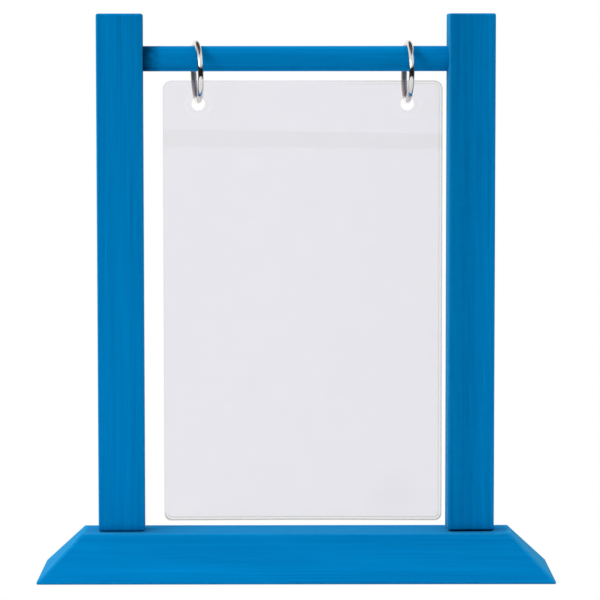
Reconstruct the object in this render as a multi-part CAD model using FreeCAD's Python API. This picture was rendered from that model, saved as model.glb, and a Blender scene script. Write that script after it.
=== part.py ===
import FreeCAD, Part
import math
import os

# Table-top display stand: a bevelled base board, two square posts, a round
# crossbar, and a clear vinyl page sleeve that hangs from two hinged book rings.
# Millimetres. Origin: centre of the base's underside. +Z up, +X along the
# crossbar, -Y towards the viewer, who faces the open side of the sleeve.

# ---- clear sleeve, which the rest of the stand is sized to hold ----
sleeve_width = 132.8
sleeve_height = 210.4
sleeve_offset = 3.3          # the sleeve hangs a little to the right of centre
sleeve_side_gap = 6.1        # between a centred sleeve and each post
sleeve_foot_gap = 4.45       # between the sleeve and the base
sheet_thickness = 0.3
pocket_gap = 0.4             # room for a card between the back and front sheets
weld_margin = 2.0
sleeve_top_radius = 4.0
sleeve_bottom_radius = 3.0
hole_diameter = 6.4
hole_inset = 16.8            # from each side edge to the hole centre
hole_drop = 11.0             # from the top edge to the hole centres
hole_weld_width = 2.8
mouth_gap = 7.1              # from the hole welds down to the front sheet's free edge
flap_lap = 7.8               # how far the header strip laps over the front sheet
flap_clearance = 0.2         # between the header strip and the sheets it laps

# ---- crossbar ----
bar_diameter = 12.0
bar_drop = 21.3              # from the top of the posts to the bar's centre line
bar_socket_depth = 11.0      # how deep the bar enters each post
bar_end_gap = 0.4            # air left at the bottom of each socket
bar_end_chamfer = 0.8

# ---- posts ----
post_width = 22.0
post_wall = 1.85             # wood in front of the bar's socket, and behind it
post_edge_radius = 1.0
post_foot_gap = 0.3          # glue line left open round the foot of each post
post_seat_margin = 1.6       # width of that open line
post_twist = {"left": 1.5, "right": 3.0}    # degrees each stick is turned on its own axis
post_shift = {"left": 0.0, "right": -0.4}   # how far its wood lies off its screws

# ---- base board ----
base_height = 21.2
base_bevel_run = 20.0        # how far the long sloped sides lean in
base_end_run = 21.1          # how far the two sloped ends lean in
base_end_margin = 6.65       # flat top left beyond the posts at each end
base_side_margin = 4.45      # flat top left in front of the posts, and behind them
base_edge_radius = 0.7

# ---- wood screws, from under the base into the posts ----
screw_spacing = 11.0         # between the two screws of one post
screw_length = 42.0
screw_shank_diameter = 3.4
screw_core_diameter = 2.4
screw_head_diameter = 6.8
screw_head_height = 2.0
screw_plain_length = 16.0    # smooth part under the head
screw_thread_pitch = 1.6
screw_point_length = 4.0
screw_recess_depth = 1.2     # how far the head sits above the underside
screw_hole_clearance = 0.3   # radial, through the base only
screw_head_clearance = 0.25
screw_slot_width = 0.9       # arms of the cross recess
screw_slot_reach = 1.7
screw_slot_depth = 1.3

# ---- book rings, just large enough for the bar and the top of the sleeve ----
ring_wire_diameter = 2.8
ring_bar_gap = 0.15          # between the wire and the top of the bar
ring_hole_gap = 0.3          # between the wire and the top of the sleeve's hole
bar_sleeve_gap = 4.35        # between the bar and the sleeve's top edge
ring_seam_angle = 40.0       # closure seam, from the ring's lowest point to the front
ring_seam_gap = 0.12
ring_yaws = {"left": 8.9, "right": 5.3}       # turn about the vertical, in degrees
ring_tilts = {"left": -2.1, "right": 1.1}     # lean in the plane of the frame
knuckle_rim = 0.45           # how far the knuckle stands out past the wire
knuckle_clearance = 0.25     # round the knuckle, between the two halves
tongue_thickness = 0.8
tongue_clearance = 0.1       # each side of the tongue
rivet_diameter = 0.9
rivet_running_gap = 0.05     # radial, in the tongue
rivet_head_rim = 0.4         # how far the rivet's heads stand out past its pin
rivet_head_height = 0.35
snap_length = 1.0            # cone on the gate that enters the hanger
snap_base_diameter = 1.5
snap_tip_diameter = 0.7
snap_clearance = 0.1

# ---- worked out, from the base upwards ----
V = FreeCAD.Vector
sleeve_bottom = base_height + sleeve_foot_gap
sleeve_top = sleeve_bottom + sleeve_height
hole_radius = hole_diameter / 2
hole_centre = sleeve_top - hole_drop
hole_reach = sleeve_width / 2 - hole_inset
hole_x = {"left": sleeve_offset - hole_reach, "right": sleeve_offset + hole_reach}
weld_radius = hole_radius + hole_weld_width
mouth_height = hole_centre - weld_radius - mouth_gap
flap_height = mouth_height - flap_lap
hole_margin = hole_drop - hole_radius
ring_inner_diameter = ring_hole_gap + hole_margin + bar_sleeve_gap + bar_diameter + ring_bar_gap
wire_radius = ring_wire_diameter / 2
ring_radius = ring_inner_diameter / 2 + wire_radius        # to the wire's centre line
ring_centre = hole_centre + hole_radius - ring_hole_gap + ring_inner_diameter / 2
bar_radius = bar_diameter / 2
bar_centre = sleeve_top + bar_sleeve_gap + bar_radius
post_top = bar_centre + bar_drop
post_depth = bar_diameter + 2 * post_wall
post_gap = sleeve_width + 2 * sleeve_side_gap
post_x = {"left": -(post_gap + post_width) / 2, "right": (post_gap + post_width) / 2}
bar_length = post_gap + 2 * (bar_socket_depth - bar_end_gap)
base_length = post_gap + 2 * (post_width + base_end_margin + base_end_run)
base_depth = post_depth + 2 * (base_side_margin + base_bevel_run)
knuckle_radius = wire_radius + knuckle_rim


def save(shape, node):
    """Write one piece to its own file."""
    if not shape.isValid():
        raise ValueError(node + " is not a valid solid")
    shape.exportStep(os.path.join("parts", node + ".step"))


def cylinder(radius, length, start, direction):
    return Part.makeCylinder(radius, length, start, direction)


def cone(first_radius, last_radius, length, start, direction):
    return Part.makeCone(first_radius, last_radius, length, start, direction)


def block(x0, x1, y0, y1, z0, z1):
    return Part.makeBox(x1 - x0, y1 - y0, z1 - z0, V(x0, y0, z0))


def rectangle(length, depth, z):
    """A closed horizontal rectangle centred on the vertical axis."""
    x = length / 2
    y = depth / 2
    corners = [V(-x, -y, z), V(x, -y, z), V(x, y, z), V(-x, y, z), V(-x, -y, z)]
    return Part.makePolygon(corners)


# ---- wood screws ----
def screw_places(side):
    """Where the screws of one post stand."""
    return [post_x[side] - screw_spacing / 2, post_x[side] + screw_spacing / 2]


def make_screw(x):
    """Countersunk wood screw, point up, with ring threads and a cross recess."""
    core = screw_core_diameter / 2
    shank = screw_shank_diameter / 2
    thread_start = screw_plain_length
    thread_end = screw_length - screw_point_length
    turns = int((thread_end - thread_start) / screw_thread_pitch)
    outline = [V(0, 0, 0), V(screw_head_diameter / 2, 0, 0), V(shank, 0, screw_head_height)]
    outline.append(V(shank, 0, thread_start))
    for turn in range(turns):
        z = thread_start + turn * screw_thread_pitch
        outline.append(V(core, 0, z + screw_thread_pitch * 0.15))
        outline.append(V(core, 0, z + screw_thread_pitch * 0.70))
        outline.append(V(shank, 0, z + screw_thread_pitch))
    outline.append(V(core, 0, thread_end + screw_thread_pitch * 0.5))
    outline.append(V(0, 0, screw_length))
    outline.append(V(0, 0, 0))
    profile = Part.Face(Part.makePolygon(outline))
    screw = profile.revolve(V(0, 0, 0), V(0, 0, 1), 360)
    arm = screw_slot_reach
    half = screw_slot_width / 2
    recess = block(-arm, arm, -half, half, 0, screw_slot_depth)
    recess = recess.fuse(block(-half, half, -arm, arm, 0, screw_slot_depth))
    screw = screw.cut(recess)
    screw.translate(V(x, 0, screw_recess_depth))
    return screw


# ---- base board ----
def make_base():
    """Board with four sloped sides; its length and depth are over the eased edges."""
    eased = {}
    for run in (base_end_run, base_bevel_run):
        slope = math.atan2(base_height, run)
        eased[run] = base_edge_radius * (1 / math.tan(slope / 2) - 1)
    length = base_length + 2 * eased[base_end_run]
    depth = base_depth + 2 * eased[base_bevel_run]
    bottom = rectangle(length, depth, 0)
    top = rectangle(length - 2 * base_end_run, depth - 2 * base_bevel_run, base_height)
    base = Part.makeLoft([bottom, top], True, True)
    base = base.makeFillet(base_edge_radius, base.Edges)
    up = V(0, 0, 1)
    head = screw_head_diameter / 2 + screw_head_clearance
    through = screw_shank_diameter / 2 + screw_hole_clearance
    sink = screw_head_height * (head - through) / (screw_head_diameter / 2 - screw_shank_diameter / 2)
    for side in post_x:
        for x in screw_places(side):
            base = base.cut(cylinder(through, base_height, V(x, 0, 0), up))
            base = base.cut(cylinder(head, screw_recess_depth, V(x, 0, 0), up))
            base = base.cut(cone(head, through, sink, V(x, 0, screw_recess_depth), up))
    return base


# ---- posts ----
def make_post(side):
    """Square post with eased edges, set a little turned, as fitted by hand, with a blind
    socket for the bar and screw pilots."""
    x = post_x[side]
    half_width = post_width / 2
    half_depth = post_depth / 2
    foot = base_height + post_foot_gap
    post = block(x - half_width, x + half_width, -half_depth, half_depth, foot, post_top)
    post = post.makeFillet(post_edge_radius, post.Edges)
    seat_width = half_width - post_seat_margin
    seat_depth = half_depth - post_seat_margin
    seat_top = foot + post_edge_radius
    seat = block(x - seat_width, x + seat_width, -seat_depth, seat_depth, base_height, seat_top)
    post = post.fuse(seat).removeSplitter()
    post.rotate(V(x, 0, 0), V(0, 0, 1), post_twist[side])
    post.translate(V(post_shift[side], 0, 0))
    inward = V(1, 0, 0) if side == "left" else V(-1, 0, 0)
    mouth = V(x, 0, bar_centre) + inward * (half_width + sleeve_side_gap / 2)
    depth = bar_socket_depth + sleeve_side_gap / 2
    post = post.cut(cylinder(bar_radius, depth, mouth, inward * -1))
    pilot_top = screw_recess_depth + screw_length - screw_point_length
    pilot = screw_shank_diameter / 2
    for place in screw_places(side):
        up = V(0, 0, 1)
        hole = cylinder(pilot, pilot_top - base_height, V(place, 0, base_height), up)
        point = cone(pilot, 0, screw_point_length + screw_thread_pitch, V(place, 0, pilot_top), up)
        post = post.cut(hole.fuse(point))
    return post


# ---- crossbar ----
def make_bar():
    start = V(-bar_length / 2, 0, bar_centre)
    bar = cylinder(bar_radius, bar_length, start, V(1, 0, 0))
    rims = [edge for edge in bar.Edges if isinstance(edge.Curve, Part.Circle)]
    return bar.makeChamfer(bar_end_chamfer, rims)


# ---- book rings ----
# A ring is drawn about its own centre, lying in the YZ plane, and then set in
# place. Angles run from its lowest point, through the front, to the top.
def ring_point(angle, radius):
    a = math.radians(angle)
    return V(0, -radius * math.sin(a), -radius * math.cos(a))


def ring_direction(angle):
    """The way the wire runs at an angle, towards larger angles."""
    a = math.radians(angle)
    return V(0, -math.cos(a), math.sin(a))


def wire_arc(start, end):
    circle = Part.makeCircle(wire_radius, ring_point(start, ring_radius), ring_direction(start))
    face = Part.Face(Part.Wire(circle))
    return face.revolve(V(0, 0, 0), V(-1, 0, 0), end - start)


def across(radius, width, centre):
    """A disc along the ring's own axis, centred on a point of the ring."""
    return cylinder(radius, width, centre - V(width / 2, 0, 0), V(1, 0, 0))


hinge_angle = ring_seam_angle + 180
hinge_point = ring_point(hinge_angle, ring_radius)
seam_half_angle = math.degrees(ring_seam_gap / 2 / ring_radius)


def make_hanger():
    """The half that stays still: lowest point, back, fork and socket."""
    tongue_slot = tongue_thickness + 2 * tongue_clearance
    end = ring_seam_angle - seam_half_angle
    half = wire_arc(hinge_angle - 360, end)
    half = half.fuse(across(knuckle_radius, ring_wire_diameter, hinge_point))
    half = half.cut(across(knuckle_radius + knuckle_clearance, tongue_slot, hinge_point))
    half = half.cut(across(rivet_diameter / 2, ring_wire_diameter, hinge_point))
    mouth = snap_base_diameter / 2 + snap_clearance
    bottom = snap_tip_diameter / 2 + snap_clearance
    inward = ring_direction(end) * -1
    start = ring_point(end, ring_radius)
    socket = cone(mouth, bottom, snap_length + snap_clearance, start, inward)
    return half.cut(socket)


def make_gate():
    """The half that opens: front, top, tongue and snap cone."""
    start = ring_seam_angle + seam_half_angle
    half = wire_arc(start, hinge_angle)
    half = half.fuse(across(knuckle_radius, tongue_thickness, hinge_point))
    sweep = knuckle_radius + knuckle_clearance
    cheek = across(sweep, 2 * ring_wire_diameter, hinge_point)
    cheek = cheek.cut(across(2 * sweep, tongue_thickness, hinge_point))
    half = half.cut(cheek)
    half = half.cut(across(rivet_diameter / 2 + rivet_running_gap, ring_wire_diameter, hinge_point))
    snap_start = ring_point(start, ring_radius)
    snap_way = ring_direction(start) * -1
    snap = cone(snap_base_diameter / 2, snap_tip_diameter / 2, snap_length, snap_start, snap_way)
    return half.fuse(snap)


def make_rivet():
    """Hinge pin with a low domed head on each side."""
    rivet = across(rivet_diameter / 2, ring_wire_diameter, hinge_point)
    head_radius = rivet_diameter / 2 + rivet_head_rim
    dome_radius = (head_radius ** 2 + rivet_head_height ** 2) / (2 * rivet_head_height)
    for sign in (-1, 1):
        face = hinge_point + V(sign * wire_radius, 0, 0)
        ball_centre = face + V(sign * (rivet_head_height - dome_radius), 0, 0)
        ball = Part.makeSphere(dome_radius, ball_centre)
        keep = cylinder(head_radius, rivet_head_height, face, V(sign, 0, 0))
        rivet = rivet.fuse(ball.common(keep))
    return rivet.removeSplitter()


def set_ring(shape, side):
    """Turn, lean and lift a ring piece so that it hangs on the bar in its hole."""
    lean = ring_tilts[side]
    centre_x = hole_x[side] + ring_radius * math.sin(math.radians(lean))
    shape.rotate(V(0, 0, 0), V(0, 0, 1), ring_yaws[side])
    shape.rotate(V(0, 0, 0), V(0, 1, 0), lean)
    shape.translate(V(centre_x, 0, ring_centre))
    return shape


# ---- clear sleeve ----
# Three welded sheets. y = 0 is the weld between the back sheet and what lies in
# front of it; the fields of the front sheets stand forward, off the back sheet.
def sheet(x_inset, bottom, top, y_front, y_back, corner_low, corner_high):
    """Upright rounded plate as wide as the sleeve, less an inset on each side."""
    half = sleeve_width / 2 - x_inset
    plate = block(sleeve_offset - half, sleeve_offset + half, y_front, y_back, bottom, top)
    upright = [e for e in plate.Edges if abs(e.tangentAt(e.FirstParameter).y) > 0.9]
    middle = (bottom + top) / 2
    for radius, edges in (
        (corner_low, [e for e in upright if e.CenterOfMass.z < middle]),
        (corner_high, [e for e in upright if e.CenterOfMass.z > middle]),
    ):
        if radius > 0:
            centres = [e.CenterOfMass for e in edges]
            found = [e for e in plate.Edges if any((e.CenterOfMass - c).Length < 1e-6 for c in centres)]
            plate = plate.makeFillet(radius, found)
    return plate


def through_holes(shape, radius):
    """Cut both ring holes."""
    far = 10 * sheet_thickness
    for side in hole_x:
        start = V(hole_x[side], -far, hole_centre)
        shape = shape.cut(cylinder(radius, 2 * far, start, V(0, 1, 0)))
    return shape


front_face = -(pocket_gap + sheet_thickness)
flap_face = front_face - flap_clearance - sheet_thickness


def make_back_sheet():
    plate = sheet(0, sleeve_bottom, sleeve_top, 0, sheet_thickness,
                  sleeve_bottom_radius, sleeve_top_radius)
    return through_holes(plate, hole_radius)


def make_front_sheet():
    """Welded flat round three sides, raised by the pocket gap, open at the top."""
    rim = sheet(0, sleeve_bottom, mouth_height, -sheet_thickness, 0, sleeve_bottom_radius, 0)
    inner = weld_margin + sheet_thickness
    raised = sheet(weld_margin, sleeve_bottom + weld_margin, mouth_height,
                   front_face, 0, sleeve_bottom_radius, 0)
    pocket = sheet(inner, sleeve_bottom + inner, mouth_height + 1,
                   front_face + sheet_thickness, 1, sleeve_bottom_radius, 0)
    return rim.fuse(raised).cut(pocket).removeSplitter()


def make_header_strip():
    """Reinforces the ring holes and laps over the pocket's mouth."""
    lap = flap_clearance
    wall = weld_margin - lap - sheet_thickness
    over_front = -sheet_thickness
    rim = sheet(0, mouth_height + lap, sleeve_top, -sheet_thickness, 0, 0, sleeve_top_radius)
    ear_top = mouth_height + lap + sheet_thickness
    ears = sheet(0, flap_height, ear_top, over_front - sheet_thickness, over_front, 0, 0)
    joint = sheet(0, mouth_height + lap, ear_top, over_front, 0, 0, 0)
    raised = sheet(wall, flap_height, sleeve_top - wall, flap_face, 0, 0, sleeve_top_radius)
    room = sheet(wall + sheet_thickness, flap_height - 1, sleeve_top - wall - sheet_thickness,
                 flap_face + sheet_thickness, 1, 0, sleeve_top_radius)
    strip = rim.fuse(ears).fuse(joint).fuse(raised).cut(room)
    under = sheet(-1, flap_height - 1, mouth_height + lap, over_front, 1, 0, 0)
    strip = strip.cut(under)
    for side in hole_x:
        start = V(hole_x[side], flap_face, hole_centre)
        along = V(0, 1, 0)
        well = cylinder(weld_radius + sheet_thickness, -flap_face, start, along)
        dish = cylinder(weld_radius, -flap_face - sheet_thickness, start, along)
        strip = strip.fuse(well).cut(dish)
    return through_holes(strip, hole_radius).removeSplitter()


# ---- write every piece ----
os.makedirs("parts", exist_ok=True)
save(make_base(), "base_board")
save(make_bar(), "crossbar")
save(make_back_sheet(), "sleeve_back_sheet")
save(make_front_sheet(), "sleeve_front_sheet")
save(make_header_strip(), "sleeve_header_strip")
for side in post_x:
    save(make_post(side), side + "_post")
    save(set_ring(make_hanger(), side), side + "_ring_hanger")
    save(set_ring(make_gate(), side), side + "_ring_gate")
    save(set_ring(make_rivet(), side), side + "_ring_rivet")
    for place, x in zip(("outer", "inner"), sorted(screw_places(side), key=abs, reverse=True)):
        save(make_screw(x), side + "_" + place + "_screw")
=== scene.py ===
import math

import bmesh
import bpy
from mathutils import Matrix, Vector, noise
from mathutils.geometry import delaunay_2d_cdt


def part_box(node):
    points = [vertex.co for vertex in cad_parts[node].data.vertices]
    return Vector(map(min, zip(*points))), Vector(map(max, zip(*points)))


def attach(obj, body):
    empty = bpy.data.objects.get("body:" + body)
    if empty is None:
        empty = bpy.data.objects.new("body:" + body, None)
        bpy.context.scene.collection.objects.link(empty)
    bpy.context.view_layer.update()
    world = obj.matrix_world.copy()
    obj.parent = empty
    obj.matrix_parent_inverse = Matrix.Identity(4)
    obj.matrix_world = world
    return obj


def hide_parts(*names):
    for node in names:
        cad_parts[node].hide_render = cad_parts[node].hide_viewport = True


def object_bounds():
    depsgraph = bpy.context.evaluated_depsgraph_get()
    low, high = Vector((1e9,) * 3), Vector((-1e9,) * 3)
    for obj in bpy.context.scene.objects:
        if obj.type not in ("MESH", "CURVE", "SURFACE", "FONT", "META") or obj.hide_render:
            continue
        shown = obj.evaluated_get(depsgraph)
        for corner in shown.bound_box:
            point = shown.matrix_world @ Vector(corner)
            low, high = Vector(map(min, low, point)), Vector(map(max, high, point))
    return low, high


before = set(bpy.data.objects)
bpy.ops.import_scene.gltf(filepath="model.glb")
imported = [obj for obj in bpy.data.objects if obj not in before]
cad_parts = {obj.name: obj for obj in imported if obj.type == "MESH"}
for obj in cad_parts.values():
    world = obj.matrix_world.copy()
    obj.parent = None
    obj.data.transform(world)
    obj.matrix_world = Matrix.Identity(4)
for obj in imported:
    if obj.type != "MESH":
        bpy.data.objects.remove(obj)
cad_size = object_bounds()


# ---- Viewpoint ----------------------------------------------------------------------
# The stand is looked at from across a table, square on and from a little above its bar,
# through a long lens, so its uprights stay almost parallel.

mm = 0.001
bpy.context.scene.view_settings.view_transform = "Standard"
eye = Vector((-1.55, -1462.25, 251.9)) * mm
lens_width = 36.0
lens_length = 184.53
look_down = math.radians(4.703)
look_right = math.radians(0.136)
lean = math.radians(-0.043)
camera_data = bpy.data.cameras.new("viewpoint")
camera_data.sensor_width = lens_width
camera_data.lens = lens_length
camera_data.clip_start = 0.05
camera_data.clip_end = 40
camera = bpy.data.objects.new("viewpoint", camera_data)
camera.matrix_world = (
    Matrix.Translation(eye)
    @ Matrix.Rotation(-look_right, 4, "Z")
    @ Matrix.Rotation(math.pi / 2 - look_down, 4, "X")
    @ Matrix.Rotation(lean, 4, "Z")
)
bpy.context.scene.collection.objects.link(camera)
bpy.context.scene.camera = camera


# ---- Light and table ----------------------------------------------------------------
# A white table with white walls behind it. Light comes from a big soft window at the
# upper left and in front; the room on the viewer's own side stays dim at eye height.

def add(tree, kind, sockets=None, **settings):
    """Adds a node. A socket is given a value, or the output that feeds it."""
    made = tree.nodes.new("ShaderNode" + kind)
    for name, value in settings.items():
        setattr(made, name, value)
    for name, value in (sockets or {}).items():
        if isinstance(value, bpy.types.NodeSocket):
            tree.links.new(value, made.inputs[name])
        else:
            made.inputs[name].default_value = value
    return made


def sum_of(tree, operation, *values):
    """One Math node on values or outputs; its result."""
    made = tree.nodes.new("ShaderNodeMath")
    made.operation = operation
    for place, value in enumerate(values):
        if isinstance(value, bpy.types.NodeSocket):
            tree.links.new(value, made.inputs[place])
        else:
            made.inputs[place].default_value = value
    return made.outputs[0]


def fade(tree, value, start, end, low=0.0, high=1.0):
    """low where value is start or less, high where it is end or more, smooth between."""
    made = add(tree, "MapRange", interpolation_type="SMOOTHSTEP")
    tree.links.new(value, made.inputs["Value"])
    for label, number in (("From Min", start), ("From Max", end), ("To Min", low), ("To Max", high)):
        made.inputs[label].default_value = number
    return made.outputs["Result"]


window_place = Vector((-1.15, -0.95, 0.95))
window_size = 0.65
window_power = 13.2
back_wall = 1.0
dim_room = 0.012
soft_ceiling = 0.88
dark_overhead = 0.06
ceiling_from = (math.radians(12), math.radians(22))
wall_top = (math.radians(30), math.radians(42))
overhead_from = (math.radians(57), math.radians(68))
matt_front = 0.12
matt_back = 1.10
matt_left_share = 1.25
matt_right_share = 0.2
matt_right = 0.80
matt_above = 1.25

world = bpy.data.worlds.new("room")
world.use_nodes = True
bpy.context.scene.world = world
tree = world.node_tree
tree.nodes.clear()
way = add(tree, "SeparateXYZ", {"Vector": add(tree, "TexCoord").outputs["Generated"]})
height = sum_of(tree, "ARCSINE", way.outputs["Z"])
low_band = fade(tree, height, *ceiling_from, dim_room, soft_ceiling)
overhead = fade(tree, height, *overhead_from)
behind = fade(tree, way.outputs["Y"], 0.0, 0.35)
above_wall = fade(tree, height, *wall_top)
dark_top = sum_of(tree, "MAXIMUM", overhead, sum_of(tree, "MULTIPLY", above_wall, behind))
front = add(tree, "Mix", {"Factor": dark_top, "A": low_band, "B": dark_overhead}).outputs[0]
wall = add(tree, "Mix", {"Factor": sum_of(tree, "MULTIPLY", behind,
                                         sum_of(tree, "SUBTRACT", 1.0, above_wall)),
                         "A": front, "B": back_wall}).outputs[0]
ray = add(tree, "LightPath").outputs
across = fade(tree, way.outputs["X"], -0.6, 0.6, matt_left_share, matt_right_share)
matt_light = sum_of(tree, "MULTIPLY", across,
                    fade(tree, way.outputs["Y"], -0.6, 0.4, matt_front, matt_back))
beside = sum_of(tree, "MULTIPLY", fade(tree, way.outputs["X"], 0.35, 0.95, 0.0, matt_right),
                sum_of(tree, "SUBTRACT", 1.0, behind))
matt_light = sum_of(tree, "ADD", matt_light, beside)
matt_light = sum_of(tree, "ADD", matt_light, fade(tree, way.outputs["Z"], 0.4, 0.9, 0.0, matt_above))
room = add(tree, "Mix", {"Factor": ray["Is Glossy Ray"], "A": matt_light, "B": wall}).outputs[0]
strength = add(tree, "Mix", {"Factor": ray["Is Camera Ray"], "A": room, "B": 1.0}).outputs[0]
light = add(tree, "Background", {"Color": (1.0, 1.0, 1.0, 1.0), "Strength": strength})
tree.links.new(light.outputs[0], add(tree, "OutputWorld").inputs["Surface"])

window_data = bpy.data.lights.new("window", "AREA")
window_data.shape = "SQUARE"
window_data.size = window_size
window_data.energy = window_power
window = bpy.data.objects.new("window", window_data)
aim = Vector((0.0, 0.0, 0.5 * cad_size[1][2]))
window.matrix_world = (Matrix.Translation(window_place)
                       @ (aim - window_place).to_track_quat("-Z", "Y").to_matrix().to_4x4())
bpy.context.scene.collection.objects.link(window)

table_reach = 0.8
table_sides = 64
table_drop = 0.05 * mm
glow_in_corners = 0.86
table_grey = 0.82
table_grey_in_gloss = 0.60
table_mesh = bpy.data.meshes.new("table_top")
table_bm = bmesh.new()
bmesh.ops.create_circle(table_bm, cap_ends=True, radius=table_reach, segments=table_sides,
                        matrix=Matrix.Translation((0.0, 0.0, -table_drop)))
table_bm.to_mesh(table_mesh)
table_bm.free()
table = bpy.data.objects.new("table_top", table_mesh)
bpy.context.scene.collection.objects.link(table)
white_top = bpy.data.materials.new("white_table_top")
white_top.use_nodes = True
tree = white_top.node_tree
tree.nodes.clear()
corner_shade = add(tree, "AmbientOcclusion", {"Distance": 0.03}, samples=8).outputs["AO"]
glow = add(tree, "Emission", {"Strength": fade(tree, corner_shade, 0.1, 0.9, glow_in_corners, 1.0)})
glossy_ray = add(tree, "LightPath").outputs["Is Glossy Ray"]
matt = add(tree, "BsdfDiffuse", {"Color": fade(tree, glossy_ray, 0.0, 1.0, table_grey,
                                               table_grey_in_gloss)})
choose = add(tree, "MixShader", {"Fac": add(tree, "LightPath").outputs["Is Camera Ray"]})
tree.links.new(matt.outputs[0], choose.inputs[1])
tree.links.new(glow.outputs[0], choose.inputs[2])
tree.links.new(choose.outputs[0], add(tree, "OutputMaterial").inputs["Surface"])
table_mesh.materials.append(white_top)


# ---- Base board ---------------------------------------------------------------------
# One solid softwood board, all four sides planed to a slope, sealed and sprayed with two
# coats of satin blue. The grain runs along it and still reads through the paint.

def group(name, inputs, outputs):
    """An empty node group with its sockets: (tree, its inputs, its output node)."""
    made = bpy.data.node_groups.new(name, "ShaderNodeTree")
    for label, kind in inputs:
        made.interface.new_socket(label, in_out="INPUT", socket_type="NodeSocket" + kind)
    for label, kind in outputs:
        made.interface.new_socket(label, in_out="OUTPUT", socket_type="NodeSocket" + kind)
    return made, made.nodes.new("NodeGroupInput").outputs, made.nodes.new("NodeGroupOutput")


def place_group(tree, made, sockets):
    """A group placed in a material with its own values; its outputs."""
    placed = tree.nodes.new("ShaderNodeGroup")
    placed.node_tree = made
    for name, value in sockets.items():
        if isinstance(value, bpy.types.NodeSocket):
            tree.links.new(value, placed.inputs[name])
        else:
            placed.inputs[name].default_value = value
    return placed.outputs


def stretched(tree, place, scales):
    """place, scaled by its own number along each axis."""
    return add(tree, "VectorMath", {0: place, 1: scales}, operation="MULTIPLY").outputs[0]


def noise_of(tree, place, scales, detail=2.0, roughness=0.5):
    """Cloudy noise from 0 to 1, with scales in features per metre."""
    made = add(tree, "TexNoise", {"Vector": stretched(tree, place, scales), "Scale": 1.0,
                                  "Detail": detail, "Roughness": roughness})
    return made.outputs["Fac"]


def blend_of(tree, share, first, second):
    """Two colours mixed: second where share is 1. The node keeps its colours at 6 and 7."""
    made = add(tree, "Mix", data_type="RGBA")
    for place, value in ((0, share), (6, first), (7, second)):
        if isinstance(value, bpy.types.NodeSocket):
            tree.links.new(value, made.inputs[place])
        else:
            made.inputs[place].default_value = value
    return made.outputs[2]


def ramp_of(tree, value, *stops):
    """A colour for value, from two or more stops of (value, colour)."""
    made = add(tree, "ValToRGB", {"Fac": value})
    first, last = made.color_ramp.elements
    first.position, first.color = stops[0]
    last.position, last.color = stops[-1]
    for position, colour in stops[1:-1]:
        made.color_ramp.elements.new(position).color = colour
    return made.outputs["Color"]


def blank_material(name):
    """A new material: itself, its node tree, its shader and the place on the piece."""
    made = bpy.data.materials.new(name)
    made.use_nodes = True
    tree = made.node_tree
    return made, tree, tree.nodes["Principled BSDF"], add(tree, "TexCoord").outputs["Object"]


# Grain under paint: place has the grain running along its X, with the tree's heart
# below it by pith. It gives how light the paint looks, and how high the surface stands.
grain_group, grain_in, grain_out = group(
    "grain_under_paint",
    [("Place", "Vector"), ("Pith", "Float"), ("Ring Spacing", "Float"), ("Streaks", "Float")],
    [("Tone", "Float"), ("Height", "Float")])
tree = grain_group
streak = noise_of(tree, grain_in["Place"], (14.0, 1300.0, 1300.0), detail=4.0, roughness=0.60)
band = noise_of(tree, grain_in["Place"], (4.0, 240.0, 240.0), detail=3.0)
sway = noise_of(tree, grain_in["Place"], (9.0, 26.0, 26.0), detail=2.0)
part = add(tree, "SeparateXYZ", {"Vector": grain_in["Place"]}).outputs
depth = sum_of(tree, "ADD", part["Z"], grain_in["Pith"])
radius = sum_of(tree, "SQRT", sum_of(tree, "ADD", sum_of(tree, "POWER", part["Y"], 2.0),
                                     sum_of(tree, "POWER", depth, 2.0)))
taper = sum_of(tree, "MULTIPLY", part["X"], 0.045)
swayed = sum_of(tree, "MULTIPLY_ADD", sway, 0.016, sum_of(tree, "ADD", radius, taper))
ring_turn = sum_of(tree, "DIVIDE", sum_of(tree, "MULTIPLY", swayed, 2 * math.pi),
                   grain_in["Ring Spacing"])
ring = sum_of(tree, "POWER", sum_of(tree, "MULTIPLY_ADD", sum_of(tree, "SINE", ring_turn), 0.5, 0.5),
              3.0)
mixed = sum_of(tree, "ADD", sum_of(tree, "MULTIPLY", streak, 0.55),
               sum_of(tree, "MULTIPLY", band, 0.45))
tone = sum_of(tree, "MULTIPLY_ADD", sum_of(tree, "SUBTRACT", mixed, 0.5), grain_in["Streaks"],
              sum_of(tree, "MULTIPLY_ADD", ring, 0.05, 0.48))
tree.links.new(tone, grain_out.inputs["Tone"])
stand = sum_of(tree, "MULTIPLY_ADD", streak, 0.7, sum_of(tree, "MULTIPLY", ring, 0.5))
tree.links.new(stand, grain_out.inputs["Height"])

# Closeness to the edges of a block, or of one whose ends and sides slope in by Slope's X
# and Y for each unit of height: 1 on the edge, broken up a little, and 0 past Width.
edge_group, edge_in, edge_out = group(
    "worn_edges",
    [("Place", "Vector"), ("Middle", "Vector"), ("Half Size", "Vector"), ("Slope", "Vector"),
     ("Width", "Float")],
    [("Mask", "Float")])
tree = edge_group
from_middle = add(tree, "VectorMath", {0: edge_in["Place"], 1: edge_in["Middle"]},
                  operation="SUBTRACT").outputs[0]
off = add(tree, "SeparateXYZ", {"Vector": from_middle}).outputs
half = add(tree, "SeparateXYZ", {"Vector": edge_in["Half Size"]}).outputs
slope = add(tree, "SeparateXYZ", {"Vector": edge_in["Slope"]}).outputs
risen = sum_of(tree, "ADD", off["Z"], half["Z"])
gaps = []
for axis in "XYZ":
    reach = sum_of(tree, "SUBTRACT", half[axis], sum_of(tree, "ABSOLUTE", off[axis]))
    gaps.append(sum_of(tree, "SUBTRACT", reach, sum_of(tree, "MULTIPLY", risen, slope[axis])))
lower = sum_of(tree, "MINIMUM", gaps[0], gaps[1])
upper = sum_of(tree, "MAXIMUM", gaps[0], gaps[1])
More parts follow.
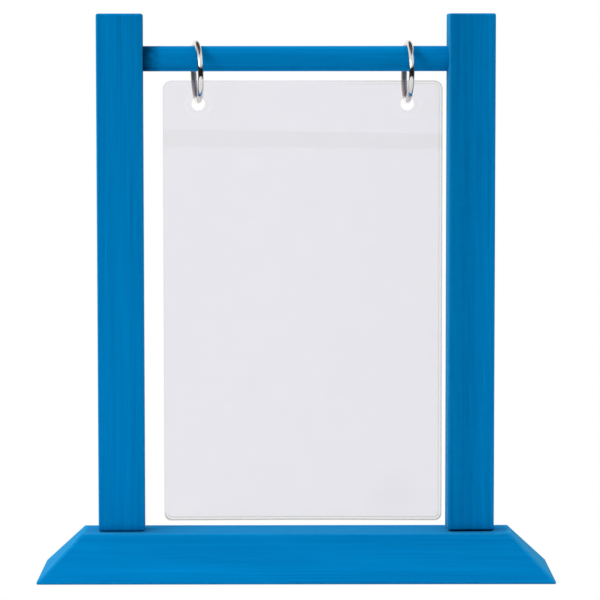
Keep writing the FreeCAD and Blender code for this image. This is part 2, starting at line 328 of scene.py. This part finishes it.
second = sum_of(tree, "MAXIMUM", lower, sum_of(tree, "MINIMUM", upper, gaps[2]))
ragged = noise_of(tree, edge_in["Place"], (380.0, 380.0, 380.0), detail=4.0, roughness=0.65)
worn_width = sum_of(tree, "MULTIPLY", edge_in["Width"],
                    sum_of(tree, "MULTIPLY_ADD", ragged, 2.2, -0.1))
near = sum_of(tree, "SUBTRACT", 1.0,
              sum_of(tree, "DIVIDE", second, sum_of(tree, "MAXIMUM", worn_width, 0.01 * mm)))
tree.links.new(sum_of(tree, "MAXIMUM", 0.0, sum_of(tree, "MINIMUM", near, 1.0)),
               edge_out.inputs["Mask"])

# Scattered round specks, Spacing per metre of them, of which only the share Kept shows.
speck_group, speck_in, speck_out = group(
    "scattered_specks",
    [("Place", "Vector"), ("Spacing", "Float"), ("Size", "Float"), ("Kept", "Float")],
    [("Mask", "Float")])
tree = speck_group
cells = add(tree, "TexVoronoi", {"Vector": speck_in["Place"], "Scale": speck_in["Spacing"]})
lot = add(tree, "SeparateColor", {"Color": cells.outputs["Color"]}).outputs
wanted = sum_of(tree, "LESS_THAN", lot[0], speck_in["Kept"])
speck_size = sum_of(tree, "MULTIPLY", speck_in["Size"], sum_of(tree, "MULTIPLY_ADD", lot[1], 0.8, 0.3))
inside = sum_of(tree, "SUBTRACT", 1.0, sum_of(tree, "DIVIDE", cells.outputs["Distance"], speck_size))
tree.links.new(sum_of(tree, "MULTIPLY", wanted, sum_of(tree, "MAXIMUM", inside, 0.0)),
               speck_out.inputs["Mask"])

deep_blue = (0.0, 0.125, 0.335, 1.0)
blue = (0.0, 0.172, 0.440, 1.0)
pale_blue = (0.0, 0.225, 0.550, 1.0)
bare_edge = (0.020, 0.320, 0.660, 1.0)
# Near-black blue for shade painted into the paint colour.
painted_shade_blue = (0.0, 0.020, 0.060, 1.0)
edge_wear = 0.30


def painted(name, node_name, turn, pith, ring_spacing, streaks, slope=(0.0, 0.0, 0.0),
            edge_width=1.1 * mm, size=None, twist=0.0, painted_shade=()):
    """Satin paint over wood for one piece. turn lays the piece's length along X. size and
    twist are for a stick that stands turned in its box. The last argument is a list of
    (axis, shaded end, unshaded end, how dark) for shade painted into the paint colour."""
    made, tree, shader, place = blank_material(name)
    along = add(tree, "VectorRotate", {"Vector": place, "Rotation": turn},
                rotation_type="EULER_XYZ").outputs[0]
    grain = place_group(tree, grain_group, {"Place": along, "Pith": pith, "Streaks": streaks,
                                            "Ring Spacing": ring_spacing})
    low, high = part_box(node_name)
    squared = add(tree, "VectorRotate", {"Vector": place, "Center": (low + high) / 2,
                                         "Rotation": (0.0, 0.0, -twist)},
                  rotation_type="EULER_XYZ").outputs[0]
    edges = place_group(tree, edge_group, {"Place": squared, "Middle": (low + high) / 2,
                                           "Half Size": (size or high - low) / 2, "Slope": slope,
                                           "Width": edge_width})["Mask"]
    dust = place_group(tree, speck_group, {"Place": place, "Spacing": 260.0, "Size": 0.10,
                                           "Kept": 0.10})["Mask"]
    pits = place_group(tree, speck_group, {"Place": stretched(tree, along, (0.5, 1.0, 1.0)),
                                           "Spacing": 170.0, "Size": 0.13, "Kept": 0.07})["Mask"]
    paint = ramp_of(tree, grain["Tone"], (0.18, deep_blue), (0.5, blue), (0.82, pale_blue))
    paint = blend_of(tree, sum_of(tree, "MULTIPLY", edges, edge_wear), paint, bare_edge)
    part = add(tree, "SeparateXYZ", {"Vector": place}).outputs
    smear = noise_of(tree, place, (320.0, 320.0, 320.0), detail=4.0)
    # Painted shade: each entry darkens the paint colour toward the near-black blue. The darkening is
    # full at its shaded end, gone at its unshaded end, and has a ragged edge.
    for axis, shaded_end, unshaded_end, dark in painted_shade:
        reach = sum_of(tree, "MULTIPLY_ADD", sum_of(tree, "SUBTRACT", smear, 0.5),
                       0.6 * (unshaded_end - shaded_end), part[axis])
        paint = blend_of(tree, fade(tree, reach, shaded_end, unshaded_end, dark, 0.0), paint, painted_shade_blue)
    tree.links.new(paint, shader.inputs["Base Color"])
    skin = noise_of(tree, place, (900.0, 900.0, 900.0), detail=3.0)
    rough = sum_of(tree, "MULTIPLY_ADD", skin, 0.16, 0.44)
    rough = sum_of(tree, "SUBTRACT", rough, sum_of(tree, "MULTIPLY", edges, 0.08))
    tree.links.new(rough, shader.inputs["Roughness"])
    shader.inputs["Specular IOR Level"].default_value = 0.0004
    shader.inputs["Specular Tint"].default_value = (0.0, 0.45, 1.0, 1.0)
    shader.inputs["Sheen Weight"].default_value = 0.24
    shader.inputs["Sheen Roughness"].default_value = 0.35
    shader.inputs["Sheen Tint"].default_value = (0.22, 0.87, 1.0, 1.0)
    relief = sum_of(tree, "MULTIPLY_ADD", skin, 0.35, grain["Height"])
    relief = sum_of(tree, "MULTIPLY_ADD", pits, -2.0, sum_of(tree, "ADD", relief, dust))
    bump = add(tree, "Bump", {"Height": relief, "Strength": 0.55, "Distance": 0.05 * mm})
    tree.links.new(bump.outputs[0], shader.inputs["Normal"])
    return made


def coat(names, material):
    """Gives CAD pieces their finish."""
    for name in names:
        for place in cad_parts[name].material_slots:
            place.material = material


base_low, base_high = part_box("base_board")
base_thick = base_high.z - base_low.z
end_run = 21.1 * mm
side_run = 20.0 * mm
coat(["base_board"], painted("blue_paint_on_base", "base_board", (0.0, 0.0, 0.0), 0.034, 7.5 * mm,
                             0.95, slope=(end_run / base_thick, side_run / base_thick, 0.0)))


# ---- Posts --------------------------------------------------------------------------
# Two straight sticks with eased edges, cut from different boards, so their grain differs.
# Each stands on the board, turned a little by hand, and is glued and screwed from below.

upright = (0.0, math.pi / 2, 0.0)
left_low, left_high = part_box("left_post")
post_width = 22.0 * mm
post_depth = 15.7 * mm
left_twist = math.radians(1.5)
right_twist = math.radians(3.0)
stick = Vector((post_width, post_depth, left_high.z - left_low.z))
right_post_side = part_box("right_post")[0].x
# Painted shade: the paint darkens toward each post's foot and in a dark line where it meets the board.
# The right post's paint also darkens from its left side across.
foot_painted_shade = [("Z", left_low.z + 1.0 * mm, left_low.z + 4.5 * mm, 0.16)]
left_gap_painted_shade = [("Z", left_low.z + 0.3 * mm, left_low.z + 1.3 * mm, 0.35)]
right_gap_painted_shade = [("Z", left_low.z + 0.8 * mm, left_low.z + 1.6 * mm, 0.97)]
right_shade = [("X", right_post_side, right_post_side + post_width, 0.17)]
coat(["left_post"], painted("blue_paint_on_left_post", "left_post", upright, 0.120, 5.0 * mm, 1.10,
                            size=stick, twist=left_twist, painted_shade=foot_painted_shade + left_gap_painted_shade))
coat(["right_post"], painted("blue_paint_on_right_post", "right_post", upright, 0.055, 4.2 * mm, 1.25,
                             size=stick, twist=right_twist,
                             painted_shade=foot_painted_shade + right_gap_painted_shade + right_shade))


# ---- Crossbar -----------------------------------------------------------------------
# A round wooden dowel with chamfered ends, glued into a blind hole in each post and
# sprayed together with them. Next to the left post its paint is darkened as painted shadow.

# Painted shadow of the left post: the bar's paint darkens over its first 10 mm.
bar_painted_shadow = [("X", left_high.x, left_high.x + 10.0 * mm, 0.90)]
coat(["crossbar"], painted("blue_paint_on_bar", "crossbar", (0.0, 0.0, 0.0), -0.190, 4.0 * mm, 0.80,
                           edge_width=0.01 * mm, painted_shade=bar_painted_shadow))


# ---- Wood screws --------------------------------------------------------------------
# Four countersunk steel wood screws, zinc plated, two to a post. They are driven up
# through the base board, and their heads sit in its counterbores.

zinc, tree, shader, place = blank_material("zinc_plate")
cloud = noise_of(tree, place, (700.0, 700.0, 700.0), detail=4.0)
swirl = noise_of(tree, place, (2600.0, 2600.0, 300.0), detail=2.0)
plating = ramp_of(tree, cloud, (0.3, (0.42, 0.42, 0.38, 1.0)), (0.7, (0.66, 0.66, 0.65, 1.0)))
tree.links.new(plating, shader.inputs["Base Color"])
shader.inputs["Metallic"].default_value = 1.0
tree.links.new(sum_of(tree, "MULTIPLY_ADD", swirl, 0.25, 0.22), shader.inputs["Roughness"])
bump = add(tree, "Bump", {"Height": swirl, "Strength": 0.4, "Distance": 0.03 * mm})
tree.links.new(bump.outputs[0], shader.inputs["Normal"])
coat([f"{side}_{place}_screw" for side in ("left", "right") for place in ("outer", "inner")], zinc)


# ---- Book rings ---------------------------------------------------------------------
# Two snap rings of spring-steel wire, nickel plated: a hanger half and a gate half that
# turn on a small rivet at the back and hook together at the front.

rear_painted_shade = (0.44, 0.33, 0.22, 1.0)
nickel, tree, shader, place = blank_material("nickel_plate")
cloud = noise_of(tree, place, (240.0, 240.0, 240.0), detail=3.0)
drawn = noise_of(tree, place, (5200.0, 900.0, 900.0), detail=2.0)
smudge = noise_of(tree, place, (520.0, 520.0, 520.0), detail=5.0, roughness=0.7)
plating = ramp_of(tree, cloud, (0.25, (0.70, 0.665, 0.62, 1.0)), (0.75, (0.84, 0.825, 0.80, 1.0)))
# Painted shade: the back half of each ring, behind the bar, is given a darker, warmer plating colour.
# It is also made rougher there.
rear = fade(tree, add(tree, "SeparateXYZ", {"Vector": place}).outputs["Y"], 1.0 * mm, 7.0 * mm)
shaded_rear_plating = blend_of(tree, sum_of(tree, "MULTIPLY", rear, 0.85), plating, rear_painted_shade)
tree.links.new(shaded_rear_plating, shader.inputs["Base Color"])
shader.inputs["Metallic"].default_value = 1.0
polish = sum_of(tree, "MULTIPLY_ADD", smudge, 0.16, sum_of(tree, "MULTIPLY_ADD", rear, 0.35, 0.03))
tree.links.new(polish, shader.inputs["Roughness"])
bump = add(tree, "Bump", {"Height": drawn, "Strength": 0.25, "Distance": 0.01 * mm})
tree.links.new(bump.outputs[0], shader.inputs["Normal"])
coat([f"{side}_ring_{part}" for side in ("left", "right") for part in ("hanger", "gate", "rivet")],
     nickel)


# ---- Clear sleeve -------------------------------------------------------------------
# Three sheets of soft clear vinyl, heat-welded together round the edge and round the
# two ring holes: a full back, a front that makes the pocket, and a narrow header strip.

film = 0.3 * mm
weld = 2.0 * mm
top_corner = 4.0 * mm
bottom_corner = 3.0 * mm
hole_radius = 3.2 * mm
hole_weld = 6.0 * mm
hole_lines = (hole_radius, hole_weld - 1.6 * mm, hole_weld - 0.7 * mm, hole_weld,
              hole_weld + 0.9 * mm, hole_weld + 2.4 * mm)
hole_from_side = 16.8 * mm
hole_from_top = 11.0 * mm
arc_steps = 10
hole_steps = 48
grid_step = 2.6 * mm
air = 0.02 * mm              # between sheets, so that no two of their faces fall together
mouth_slant = 1.15 * mm      # the mouth and the header's foot are cut a little out of square
header_slant = 0.45 * mm

sleeve_low, sleeve_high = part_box("sleeve_back_sheet")
front_low, front_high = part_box("sleeve_front_sheet")
strip_low, strip_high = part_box("sleeve_header_strip")
mouth = front_high.z
strip_foot = strip_low.z
sleeve_middle = (sleeve_low.x + sleeve_high.x) / 2
sleeve_centre = (sleeve_low.z + sleeve_high.z) / 2
sleeve_width = sleeve_high.x - sleeve_low.x
sleeve_height = sleeve_high.z - sleeve_low.z
hole_height = sleeve_high.z - hole_from_top
holes = [(sleeve_low.x + hole_from_side, hole_height), (sleeve_high.x - hole_from_side, hole_height)]


def ease(value, start, end):
    """0 up to start, 1 from end, smooth between."""
    share = min(max((value - start) / (end - start), 0.0), 1.0)
    return share * share * (3 - 2 * share)


def rounded(inset, lower, upper, lower_round, upper_round, tilt_low=0.0, tilt_high=0.0):
    """Corner-rounded outline of a sheet, drawn in by inset, from its lower right corner."""
    x0 = sleeve_low.x + inset
    x1 = sleeve_high.x - inset
    corners = [(x1, lower - tilt_low, -90, lower_round), (x1, upper - tilt_high, 0, upper_round),
               (x0, upper + tilt_high, 90, upper_round), (x0, lower + tilt_low, 180, lower_round)]
    outline = []
    for x, z, start, size in corners:
        size = max(size - inset, 0.0)
        z += inset if start in (-90, 180) else -inset
        if size < 0.2 * mm:
            outline.append((x, z))
            continue
        middle_x = x - size if x > sleeve_middle else x + size
        middle_z = z + size if start in (-90, 180) else z - size
        for step in range(arc_steps + 1):
            angle = math.radians(start + 90 * step / arc_steps)
            outline.append((middle_x + size * math.cos(angle), middle_z + size * math.sin(angle)))
    return outline


def ring_of(centre, size):
    """Points of a circle round a hole."""
    return [(centre[0] + size * math.cos(2 * math.pi * step / hole_steps),
             centre[1] + size * math.sin(2 * math.pi * step / hole_steps))
            for step in range(hole_steps)]


def split(outline, longest):
    """The outline with points added, so that no stretch of it is over longest."""
    fine = []
    for here, there in zip(outline, outline[1:] + outline[:1]):
        length = math.dist(here, there)
        pieces = max(1, math.ceil(length / longest))
        for step in range(pieces):
            share = step / pieces
            fine.append((here[0] + share * (there[0] - here[0]),
                         here[1] + share * (there[1] - here[1])))
    return fine


def inside_of(point, outline):
    """True where the point is inside the outline."""
    x, z = point
    odd = False
    for (x1, z1), (x2, z2) in zip(outline, outline[1:] + outline[:1]):
        if (z1 > z) != (z2 > z) and x < x1 + (z - z1) * (x2 - x1) / (z2 - z1):
            odd = not odd
    return odd


def sway_of(x, z):
    """How far the hanging sleeve has drifted forward or back there: it bows between its
    rings, and its lower corners curl."""
    down = (hole_height - z) / sleeve_height
    across = (x - sleeve_middle) / (sleeve_width / 2)
    bow = 0.45 * mm * math.cos(math.pi * across * 0.9) * ease(down, 0.03, 0.5)
    curl = -0.8 * mm * abs(across) ** 3 * ease(down, 0.55, 1.0) * (1.0 if across < 0 else 0.6)
    ripple = 0.35 * mm * noise.noise(Vector((x * 22, z * 9, 0.4))) * ease(down, 0.05, 0.3)
    return bow + curl + ripple


def seam_of(x, z, lower, upper):
    """Distance in from the nearest welded edge: both sides, and lower or upper if given."""
    near = min(x - sleeve_low.x, sleeve_high.x - x)
    if lower is not None:
        near = min(near, z - lower)
    if upper is not None:
        near = min(near, upper - z)
    return near


def hole_gap(x, z):
    """Distance from the middle of the nearest hole."""
    return min(math.dist((x, z), centre) for centre in holes)


def back_face(x, z):
    """Front surface of the back sheet."""
    return 0.0


def front_face(x, z):
    """Front surface of the pocket: welded flat round its edge, and standing off inside."""
    off = ease(seam_of(x, z, front_low.z, None), weld - 0.3 * mm, weld + 1.6 * mm)
    belly = ease(strip_foot - z, 4 * mm, 60 * mm) * ease(z - front_low.z, 3 * mm, 45 * mm)
    across = ease(seam_of(x, z, None, None), weld, 40 * mm)
    return -film - air - off * (0.4 * mm + 0.9 * mm * belly * across)


def strip_face(x, z):
    """Front surface of the header: on the back sheet above the mouth and at its holes, and
    in front of the pocket where it laps it."""
    off = ease(seam_of(x, z, None, strip_high.z), weld - 0.3 * mm, weld + 1.6 * mm)
    off *= ease(hole_gap(x, z), hole_weld - 0.2 * mm, hole_lines[-1])
    lap = ease(mouth + 3.4 * mm - z, 0.0, 1.8 * mm)
    return -(film + air) * (1 + lap) - off * 0.6 * mm


def sheet_of(name, outline_of, face, pierced, insets):
    """A closed sheet of film: points on its outline, on its weld lines and over its middle
    are joined into triangles, once for each face, with a rim between them."""
    edge = split(outline_of(0.0), grid_step)
    loops = [edge] + [split(outline_of(inset), grid_step) for inset in insets]
    rings = []
    if pierced:
        rings = [ring_of(centre, size) for centre in holes for size in hole_lines]
    points, lines = [], []
    for loop in loops + rings:
        first = len(points)
        points += loop
        lines += [(first + i, first + (i + 1) % len(loop)) for i in range(len(loop))]
    limit = outline_of(insets[-1] + 0.6 * grid_step)
    bottom = min(z for x, z in edge)
    tall = max(z for x, z in edge) - bottom
    columns = round(sleeve_width / grid_step)
    rows = round(tall / grid_step)
    for row in range(rows + 1):
        for column in range(columns + 1):
            shift = 0.5 * (row % 2)
            spot = (sleeve_low.x + sleeve_width * (column + shift) / columns,
                    bottom + tall * row / rows)
            crowded = pierced and hole_gap(*spot) < hole_lines[-1] + 0.6 * grid_step
            if inside_of(spot, limit) and not crowded:
                points.append(spot)
    flat, _, faces, _, _, _ = delaunay_2d_cdt([Vector(p) for p in points], lines, [], 0, 1e-7)
    kept = []
    for face_points in faces:
        middle = sum((flat[i] for i in face_points), Vector((0.0, 0.0))) / len(face_points)
        if not inside_of(middle, edge):
            continue
        if pierced and hole_gap(*middle) < hole_radius * math.cos(math.pi / hole_steps):
            continue
        kept.append(face_points)
    used = sorted({i for face_points in kept for i in face_points})
    number = {old: new for new, old in enumerate(used)}
    count = len(used)
    places = []
    for back in (0.0, film):
        for old in used:
            x, z = flat[old]
            places.append((x, face(x, z) + sway_of(x, z) + back, z))
    triangles = []
    sides = []
    for face_points in kept:
        a, b, c = (number[i] for i in face_points)
        triangles += [(a, b, c), (a + count, c + count, b + count)]
        sides += [(a, b), (b, c), (c, a)]
    shared = set(sides)
    quads = [(a, a + count, b + count, b) for a, b in sides if (b, a) not in shared]
    mesh = bpy.data.meshes.new(name)
    mesh.from_pydata(places, [], triangles + quads)
    mesh.validate()
    sheet_bm = bmesh.new()
    sheet_bm.from_mesh(mesh)
    bmesh.ops.recalc_face_normals(sheet_bm, faces=sheet_bm.faces)
    for edge_line in sheet_bm.edges:
        if len(edge_line.link_faces) == 2:
            edge_line.smooth = edge_line.calc_face_angle() < math.radians(40)
    for made_face in sheet_bm.faces:
        made_face.smooth = True
    sheet_bm.to_mesh(mesh)
    sheet_bm.free()
    piece = bpy.data.objects.new(name, mesh)
    bpy.context.scene.collection.objects.link(piece)
    return piece


def back_outline(inset):
    """The back sheet: as large as the whole sleeve."""
    return rounded(inset, sleeve_low.z, sleeve_high.z, bottom_corner, top_corner)


def front_outline(inset):
    """The front sheet: from the foot of the sleeve up to the pocket's mouth."""
    return rounded(inset, front_low.z, mouth, bottom_corner, 0.0, tilt_high=mouth_slant)


def strip_outline(inset):
    """The header strip: from the top of the sleeve down over the mouth."""
    return rounded(inset, strip_foot, strip_high.z, 0.0, top_corner, tilt_low=header_slant)


# Distance in from the outline of the whole sleeve, on its face.
seam_group, seam_in, seam_out = group("distance_from_seam", [("Place", "Vector")],
                                      [("Distance", "Float")])
tree = seam_group
part = add(tree, "SeparateXYZ", {"Vector": seam_in["Place"]}).outputs
from_middle = sum_of(tree, "ABSOLUTE", sum_of(tree, "SUBTRACT", part["X"], sleeve_middle))
from_centre = sum_of(tree, "ABSOLUTE", sum_of(tree, "SUBTRACT", part["Z"], sleeve_centre))
far_x = sum_of(tree, "SUBTRACT", from_middle, sleeve_width / 2 - top_corner)
far_z = sum_of(tree, "SUBTRACT", from_centre, sleeve_height / 2 - top_corner)
past = add(tree, "CombineXYZ", {"X": sum_of(tree, "MAXIMUM", far_x, 0.0),
                                "Y": sum_of(tree, "MAXIMUM", far_z, 0.0)}).outputs[0]
past_corner = add(tree, "VectorMath", {0: past}, operation="LENGTH").outputs["Value"]
short_of = sum_of(tree, "MINIMUM", sum_of(tree, "MAXIMUM", far_x, far_z), 0.0)
tree.links.new(sum_of(tree, "SUBTRACT", top_corner, sum_of(tree, "ADD", past_corner, short_of)),
               seam_out.inputs["Distance"])


def stripe(tree, value, middle, width):
    """1 where value is middle, falling to 0 within width of it."""
    far = sum_of(tree, "ABSOLUTE", sum_of(tree, "SUBTRACT", value, middle))
    return fade(tree, far, 0.0, width, 1.0, 0.0)


def far_from(tree, place, spot):
    """Distance of place from spot."""
    return add(tree, "VectorMath", {0: place, 1: spot}, operation="DISTANCE").outputs["Value"]


# Greys for the weld band and the weld lines where shade is painted on them.
weld_band_shade_grey = (0.33, 0.34, 0.29, 1.0)
weld_line_shade_grey = (0.10, 0.10, 0.085, 1.0)
more_to_right = 0.385    # extra haze for each metre to the right, or down


def vinyl(name, tint, cover, lines, pierced):
    """Clear vinyl for one sheet. cover is how much of the light each face holds back, and
    lines how strongly its weld lines and weld band show darker on the right side and foot, as painted
    shade."""
    made, tree, shader, place = blank_material(name)
    part = add(tree, "SeparateXYZ", {"Vector": place}).outputs
    seam = place_group(tree, seam_group, {"Place": place})["Distance"]
    haze = noise_of(tree, place, (16.0, 16.0, 12.0), detail=4.0, roughness=0.55)
    fine = noise_of(tree, place, (420.0, 420.0, 420.0), detail=3.0)
    smear = noise_of(tree, place, (60.0, 60.0, 140.0), detail=4.0, roughness=0.6)
    dust = place_group(tree, speck_group, {"Place": place, "Spacing": 210.0, "Size": 0.10,
                                           "Kept": 0.12})["Mask"]
    # Painted shade: the weld lines and the weld band show darker and greyer only along the right side
    # and the foot.
    side_share = fade(tree, part["X"], sleeve_middle, sleeve_high.x - 4.0 * mm, 0.0, 0.52)
    foot_share = fade(tree, part["Z"], sleeve_low.z + 2.0 * mm, sleeve_low.z + 5.0 * mm, 1.0, 0.0)
    shown = sum_of(tree, "MULTIPLY", sum_of(tree, "MAXIMUM", side_share, foot_share), lines)
    outer_line = stripe(tree, seam, 0.35 * mm, 0.45 * mm)
    inner_line = stripe(tree, seam, weld - 0.4 * mm, 0.45 * mm)
    line = sum_of(tree, "ADD", sum_of(tree, "MULTIPLY", outer_line, 0.18),
                  sum_of(tree, "MULTIPLY", inner_line, 0.10))
    line = sum_of(tree, "MULTIPLY", line, shown)
    margin = fade(tree, seam, weld - 0.1 * mm, weld + 0.3 * mm, 1.0, 0.0)
    rim = fade(tree, seam, 0.0, 0.5 * mm, 1.0, 0.0)
    # Painted light and shade: a lighter patch near the lower left corner of the sleeve and a darker
    # blotch near the lower right one.
    from_light_patch = far_from(tree, place, (sleeve_low.x + 10 * mm, 0.0, sleeve_low.z + 7 * mm))
    painted_light_patch = fade(tree, sum_of(tree, "MULTIPLY_ADD", smear, 9 * mm, from_light_patch),
                 6 * mm, 13 * mm, 1.0, 0.0)
    from_shade_blotch = far_from(tree, place, (sleeve_high.x - 24 * mm, 0.0, sleeve_low.z + 13 * mm))
    painted_shade_blotch = fade(tree, sum_of(tree, "MULTIPLY_ADD", smear, 16 * mm, from_shade_blotch),
                  10 * mm, 26 * mm, 1.0, 0.0)
    hold = cover
    for mask, amount in ((sum_of(tree, "SUBTRACT", haze, 0.5), 0.30),
                         (sum_of(tree, "SUBTRACT", smear, 0.5), 0.14),
                         (sum_of(tree, "SUBTRACT", part["X"], sleeve_middle), more_to_right),
                         (sum_of(tree, "SUBTRACT", part["Z"], sleeve_centre), -more_to_right),
                         (dust, 0.6), (rim, 0.45), (painted_light_patch, -0.07), (painted_shade_blotch, 0.10)):
        hold = sum_of(tree, "MULTIPLY_ADD", mask, amount * cover, hold)
    if pierced:
        for x, z in holes:
            ring = stripe(tree, far_from(tree, place, (x, 0.0, z)), hole_weld, 0.9 * mm)
            hold = sum_of(tree, "MULTIPLY_ADD", ring, -0.10 * cover, hold)
    edge_on = add(tree, "LayerWeight", {"Blend": 0.25}).outputs["Facing"]
    hold = sum_of(tree, "MULTIPLY_ADD", sum_of(tree, "POWER", edge_on, 3.0), 0.30, hold)
    hold = sum_of(tree, "ADD", hold, line)
    tree.links.new(sum_of(tree, "MAXIMUM", hold, 0.004), shader.inputs["Alpha"])
    colour = ramp_of(tree, haze, (0.3, tuple(0.9 * channel for channel in tint) + (1.0,)),
                     (0.7, tuple(1.1 * channel for channel in tint) + (1.0,)))
    colour = blend_of(tree, sum_of(tree, "MULTIPLY", margin, shown), colour, weld_band_shade_grey)
    shaded_weld_line_share = sum_of(tree, "MINIMUM", sum_of(tree, "MULTIPLY", line, 9.0), 1.0)
    colour = blend_of(tree, shaded_weld_line_share, colour, weld_line_shade_grey)
    tree.links.new(colour, shader.inputs["Base Color"])
    gloss = sum_of(tree, "MULTIPLY_ADD", haze, 0.18, sum_of(tree, "MULTIPLY_ADD", margin, 0.40, 0.12))
    tree.links.new(gloss, shader.inputs["Roughness"])
    bump = add(tree, "Bump", {"Height": sum_of(tree, "ADD", haze, sum_of(tree, "MULTIPLY", fine, 0.05)),
                              "Strength": 0.3, "Distance": 0.4 * mm})
    tree.links.new(bump.outputs[0], shader.inputs["Normal"])
    return made


milky = (0.31, 0.275, 0.475)
clear = (0.46, 0.44, 0.50)
back_cover = 0.142
front_cover = 0.013
header_cover = 0.011
seam_lines = (1.2 * mm, weld - 0.3 * mm, weld, weld + 0.6 * mm, weld + 1.6 * mm)
sheets = [
    ("vinyl_back_sheet", "sleeve_back_sheet", back_outline, back_face, True,
     milky, back_cover, 1.0, sleeve_height),
    ("vinyl_front_sheet", "sleeve_front_sheet", front_outline, front_face, False,
     clear, front_cover, 0.0, mouth - front_low.z),
    ("vinyl_header_strip", "sleeve_header_strip", strip_outline, strip_face, True,
     clear, header_cover, 0.0, strip_high.z - strip_foot),
]
for name, node_name, outline_of, face, pierced, tint, cover, lines, tall in sheets:
    piece = sheet_of(name, outline_of, face, pierced, seam_lines)
    piece.data.materials.append(vinyl(name + "_film", tint, cover, lines, pierced))
    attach(piece, "sleeve")
    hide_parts(node_name)
